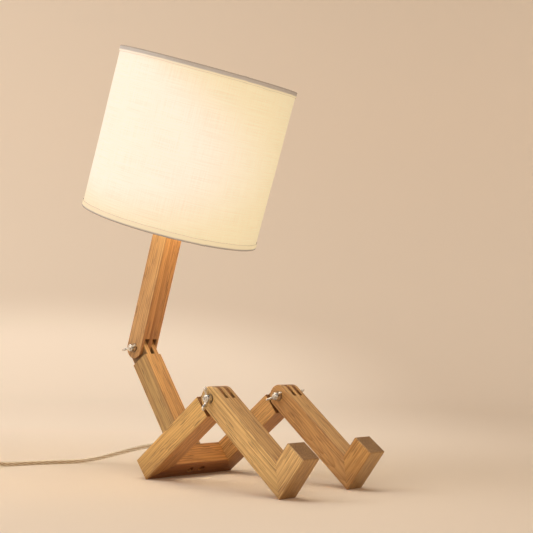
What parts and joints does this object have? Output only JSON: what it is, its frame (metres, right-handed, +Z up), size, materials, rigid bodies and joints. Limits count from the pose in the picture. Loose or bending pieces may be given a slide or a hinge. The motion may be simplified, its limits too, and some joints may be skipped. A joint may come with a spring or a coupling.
{
  "type": "seated figure desk lamp",
  "caption": "Seated-figure desk lamp of square wooden bars on wing-bolt joints, with a linen drum shade and a flat lead with switch and plug.",
  "frame": {"origin": "on the table midway between the shade's sides and between the toes and the rear of the shade, without the lead", "axes": "+Z up the lamp, +X from the near leg to the far leg, -Y the way the legs point"},
  "size_m": [0.3701, 0.4844, 0.4928],
  "materials": {
    "oak_bars": "oiled, straight grain with eased edges",
    "dowel_wood": "plain beech",
    "bright_zinc": "bright zinc plated",
    "screw_steel": "zinc plated",
    "clear_pvc": "clear PVC over bright copper strands",
    "holder_plastic": "smooth moulded",
    "contact_brass": "plain",
    "bulb_metal": "rolled thread",
    "bulb_glass": "frosted",
    "shade_wire": "white coated wire",
    "shade_liner": "translucent sheet",
    "shade_linen": "plain weave linen",
    "rim_tape": "woven tape",
    "switch_plastic": "moulded",
    "plug_plastic": "moulded",
    "pin_metal": "nickel plated",
    "tie_plastic": "coated wire tie"
  },
  "bodies": {
    "root": {"hip_bar": "oak_bars", "near_thigh": "oak_bars", "far_thigh": "oak_bars", "hip_dowels": "dowel_wood", "torso_bar": "oak_bars", "torso_screws": "screw_steel", "torso_lead": "clear_pvc", "waist_lead": "clear_pvc", "strain_relief": "clear_pvc", "cord_run": "clear_pvc", "switch_base": "switch_plastic", "switch_cover": "switch_plastic", "switch_terminals": "contact_brass", "switch_screws": "screw_steel", "cord_link": "clear_pvc", "cord_coil": "clear_pvc", "cord_tie": "tie_plastic", "cord_tail": "clear_pvc", "plug_body": "plug_plastic", "plug_pins": "pin_metal"},
    "near_shin": {"near_shin": "oak_bars", "near_foot": "oak_bars", "near_foot_dowel": "dowel_wood", "near_knee_bolt": "bright_zinc", "near_knee_washers": "bright_zinc"},
    "far_shin": {"far_shin": "oak_bars", "far_foot": "oak_bars", "far_foot_dowel": "dowel_wood", "far_knee_bolt": "bright_zinc", "far_knee_washers": "bright_zinc"},
    "neck": {"neck_bar": "oak_bars", "waist_bolt": "bright_zinc", "waist_washers": "bright_zinc", "neck_lead": "clear_pvc", "holder_cap": "holder_plastic", "holder_screws": "screw_steel", "holder_body": "holder_plastic", "holder_contacts": "contact_brass", "clamp_ring": "holder_plastic", "bulb_cap": "bulb_metal", "bulb_glass": "bulb_glass", "shade_spider": "shade_wire", "shade_lower_ring": "shade_wire", "shade_upper_ring": "shade_wire", "shade_liner": "shade_liner", "shade_fabric": "shade_linen", "shade_lower_tape": "rim_tape", "shade_upper_tape": "rim_tape"},
    "near_knee_nut": {"near_knee_nut": "bright_zinc"},
    "far_knee_nut": {"far_knee_nut": "bright_zinc"},
    "waist_nut": {"waist_nut": "bright_zinc"},
    "switch_rocker": {"switch_rocker": "switch_plastic"}
  },
  "joints": [
    {"name": "near_knee", "type": "hinge", "parent": "root", "child": "near_shin", "pos_m": [-0.0535, -0.05574, 0.09102], "axis": [1, 0, 0], "range_deg": [-169, 15]},
    {"name": "far_knee", "type": "hinge", "parent": "root", "child": "far_shin", "pos_m": [0.0535, -0.05574, 0.09102], "axis": [1, 0, 0], "range_deg": [-169, 15]},
    {"name": "waist", "type": "hinge", "parent": "root", "child": "neck", "pos_m": [0, 0.12416, 0.13995], "axis": [1, 0, 0], "range_deg": [-104.5, 43.5], "deforming": ["waist_lead"]},
    {"name": "near_knee_wing_nut", "type": "hinge", "parent": "near_shin", "child": "near_knee_nut", "pos_m": [-0.0535, -0.05574, 0.09102], "axis": [1, 0, 0], "continuous": true},
    {"name": "far_knee_wing_nut", "type": "hinge", "parent": "far_shin", "child": "far_knee_nut", "pos_m": [0.0535, -0.05574, 0.09102], "axis": [1, 0, 0], "continuous": true},
    {"name": "waist_wing_nut", "type": "hinge", "parent": "neck", "child": "waist_nut", "pos_m": [0, 0.12416, 0.13995], "axis": [1, 0, 0], "continuous": true},
    {"name": "switch_rocker_tilt", "type": "hinge", "parent": "root", "child": "switch_rocker", "pos_m": [-0.17, 0.223, 0.0126], "axis": [0, 1, 0], "range_deg": [0, 16]}
  ]
}
